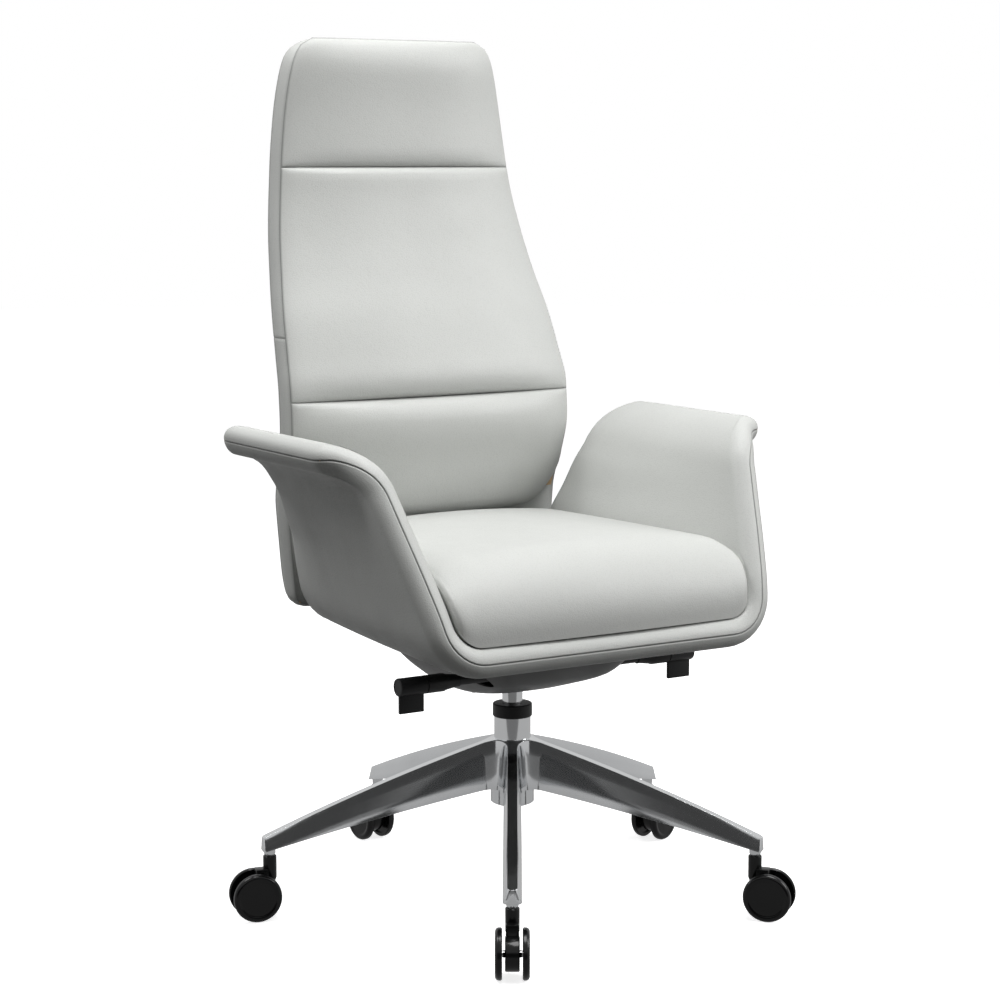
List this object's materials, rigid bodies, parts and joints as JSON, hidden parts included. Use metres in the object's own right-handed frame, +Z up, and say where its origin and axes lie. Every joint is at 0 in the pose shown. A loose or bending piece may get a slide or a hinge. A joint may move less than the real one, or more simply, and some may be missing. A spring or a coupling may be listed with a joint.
{
  "type": "swivel office chair",
  "caption": "High-back upholstered office chair with wing arms in one shell with the seat, on a gas lift and a star base with twin-wheel casters.",
  "frame": {"origin": "on the floor, on the axis of the column", "axes": "+Z up, the sitter faces -Y, +X to the sitter's left"},
  "size_m": [0.7565, 0.736, 1.172],
  "materials": {
    "polished_aluminium": "polished",
    "chrome": "mirror chrome",
    "steel": "turned",
    "black_steel": "satin powder coat",
    "spring_steel": "oiled",
    "satin_plastic": "satin moulded",
    "gloss_plastic": "gloss moulded",
    "grey_plastic": "fine texture moulded",
    "bush_plastic": "acetal",
    "rubber": "plain",
    "leather": "smooth fine grain",
    "plywood": "raw bent plywood"
  },
  "bodies": {
    "base": {"star_base": "polished_aluminium", "column_tube": "chrome", "column_cap": "satin_plastic", "guide_bush": "bush_plastic", "thrust_bearing": "steel"},
    "spindle": {"piston_rod": "steel", "retaining_clip": "spring_steel", "rubber_bumper": "rubber"},
    "lift": {"gas_cylinder": "chrome", "tilt_housing": "black_steel", "rocker_pin": "steel", "tilt_springs": "spring_steel"},
    "release_pin": {"release_pin": "steel"},
    "rocker": {"release_rocker": "steel"},
    "height_paddle": {"height_lever": "black_steel", "height_grip": "satin_plastic"},
    "tilt_paddle": {"tilt_lever": "black_steel", "tilt_grip": "satin_plastic"},
    "seat": {"seat_plate": "black_steel", "tilt_axle": "steel", "under_cover": "grey_plastic", "cover_screws": "steel", "frame_bolts": "steel", "shell_core": "plywood", "shell_outer_pad": "leather", "shell_inner_pad": "leather", "shell_welt": "leather", "seat_cushion": "leather", "back_bar": "black_steel", "back_board": "plywood", "back_band": "leather", "back_rear_panel": "leather", "head_pad": "leather", "middle_pad": "leather", "lumbar_pad": "leather"},
    "caster_1": {"caster_1_stem": "chrome", "caster_1_body": "gloss_plastic", "caster_1_axle": "steel"},
    "caster_1_wheel_left": {"caster_1_wheel_left": "gloss_plastic"},
    "caster_1_wheel_right": {"caster_1_wheel_right": "gloss_plastic"},
    "caster_2": {"caster_2_stem": "chrome", "caster_2_body": "gloss_plastic", "caster_2_axle": "steel"},
    "caster_2_wheel_left": {"caster_2_wheel_left": "gloss_plastic"},
    "caster_2_wheel_right": {"caster_2_wheel_right": "gloss_plastic"},
    "caster_3": {"caster_3_stem": "chrome", "caster_3_body": "gloss_plastic", "caster_3_axle": "steel"},
    "caster_3_wheel_left": {"caster_3_wheel_left": "gloss_plastic"},
    "caster_3_wheel_right": {"caster_3_wheel_right": "gloss_plastic"},
    "caster_4": {"caster_4_stem": "chrome", "caster_4_body": "gloss_plastic", "caster_4_axle": "steel"},
    "caster_4_wheel_left": {"caster_4_wheel_left": "gloss_plastic"},
    "caster_4_wheel_right": {"caster_4_wheel_right": "gloss_plastic"},
    "caster_5": {"caster_5_stem": "chrome", "caster_5_body": "gloss_plastic", "caster_5_axle": "steel"},
    "caster_5_wheel_left": {"caster_5_wheel_left": "gloss_plastic"},
    "caster_5_wheel_right": {"caster_5_wheel_right": "gloss_plastic"}
  },
  "joints": [
    {"name": "seat_swivel", "type": "hinge", "parent": "base", "child": "spindle", "pos_m": [0, 0, 0.13], "axis": [0, 0, 1], "continuous": true},
    {"name": "seat_height", "type": "slide", "parent": "spindle", "child": "lift", "axis": [0, 0, 1], "range_m": [-0.015, 0.08]},
    {"name": "seat_tilt", "type": "hinge", "parent": "lift", "child": "seat", "pos_m": [0, -0.105, 0.345], "axis": [-1, 0, 0], "range_deg": [0, 10], "stiffness_Nm_per_rad": 300, "springref_deg": -22.92, "deforming": ["tilt_springs"]},
    {"name": "height_paddle_turn", "type": "hinge", "parent": "lift", "child": "height_paddle", "pos_m": [-0.1, -0.092, 0.333], "axis": [1, 0, 0], "range_deg": [0, 15], "stiffness_Nm_per_rad": 1, "springref_deg": -8.59},
    {"name": "rocker_turn", "type": "hinge", "parent": "lift", "child": "rocker", "pos_m": [0, -0.038, 0.3318], "axis": [-1, 0, 0], "range_deg": [0, 6.2]},
    {"name": "release_pin_press", "type": "slide", "parent": "lift", "child": "release_pin", "axis": [0, 0, -1], "range_m": [0, 0.004]},
    {"name": "tilt_paddle_turn", "type": "hinge", "parent": "lift", "child": "tilt_paddle", "pos_m": [0.1, -0.092, 0.333], "axis": [-1, 0, 0], "range_deg": [0, 30]},
    {"name": "caster_1_swivel", "type": "hinge", "parent": "base", "child": "caster_1", "pos_m": [-0.18017, -0.28834, 0.08], "axis": [0, 0, 1], "continuous": true},
    {"name": "caster_1_wheel_left_spin", "type": "hinge", "parent": "caster_1", "child": "caster_1_wheel_left", "pos_m": [-0.19077, -0.3053, 0.0325], "axis": [0.848, -0.5299, 0], "continuous": true},
    {"name": "caster_1_wheel_right_spin", "type": "hinge", "parent": "caster_1", "child": "caster_1_wheel_right", "pos_m": [-0.19077, -0.3053, 0.0325], "axis": [0.848, -0.5299, 0], "continuous": true},
    {"name": "caster_2_swivel", "type": "hinge", "parent": "base", "child": "caster_2", "pos_m": [0.21855, -0.26045, 0.08], "axis": [0, 0, 1], "continuous": true},
    {"name": "caster_2_wheel_left_spin", "type": "hinge", "parent": "caster_2", "child": "caster_2_wheel_left", "pos_m": [0.2314, -0.27578, 0.0325], "axis": [0.766, 0.6428, 0], "continuous": true},
    {"name": "caster_2_wheel_right_spin", "type": "hinge", "parent": "caster_2", "child": "caster_2_wheel_right", "pos_m": [0.2314, -0.27578, 0.0325], "axis": [0.766, 0.6428, 0], "continuous": true},
    {"name": "caster_3_swivel", "type": "hinge", "parent": "base", "child": "caster_3", "pos_m": [0.31524, 0.12737, 0.08], "axis": [0, 0, 1], "continuous": true},
    {"name": "caster_3_wheel_left_spin", "type": "hinge", "parent": "caster_3", "child": "caster_3_wheel_left", "pos_m": [0.33379, 0.13486, 0.0325], "axis": [-0.3746, 0.9272, 0], "continuous": true},
    {"name": "caster_3_wheel_right_spin", "type": "hinge", "parent": "caster_3", "child": "caster_3_wheel_right", "pos_m": [0.33379, 0.13486, 0.0325], "axis": [-0.3746, 0.9272, 0], "continuous": true},
    {"name": "caster_4_swivel", "type": "hinge", "parent": "base", "child": "caster_4", "pos_m": [-0.02372, 0.33917, 0.08], "axis": [0, 0, 1], "continuous": true},
    {"name": "caster_4_wheel_left_spin", "type": "hinge", "parent": "caster_4", "child": "caster_4_wheel_left", "pos_m": [-0.02511, 0.35912, 0.0325], "axis": [-0.9976, -0.0698, 0], "continuous": true},
    {"name": "caster_4_wheel_right_spin", "type": "hinge", "parent": "caster_4", "child": "caster_4_wheel_right", "pos_m": [-0.02511, 0.35912, 0.0325], "axis": [-0.9976, -0.0698, 0], "continuous": true},
    {"name": "caster_5_swivel", "type": "hinge", "parent": "base", "child": "caster_5", "pos_m": [-0.3299, 0.08225, 0.08], "axis": [0, 0, 1], "continuous": true},
    {"name": "caster_5_wheel_left_spin", "type": "hinge", "parent": "caster_5", "child": "caster_5_wheel_left", "pos_m": [-0.34931, 0.08709, 0.0325], "axis": [-0.2419, -0.9703, 0], "continuous": true},
    {"name": "caster_5_wheel_right_spin", "type": "hinge", "parent": "caster_5", "child": "caster_5_wheel_right", "pos_m": [-0.34931, 0.08709, 0.0325], "axis": [-0.2419, -0.9703, 0], "continuous": true}
  ],
  "couplings": [
    {"joint": "height_paddle_turn", "follows": "release_pin_press", "rad_per_m": 65.4},
    {"joint": "rocker_turn", "follows": "release_pin_press", "rad_per_m": 26.16}
  ]
}
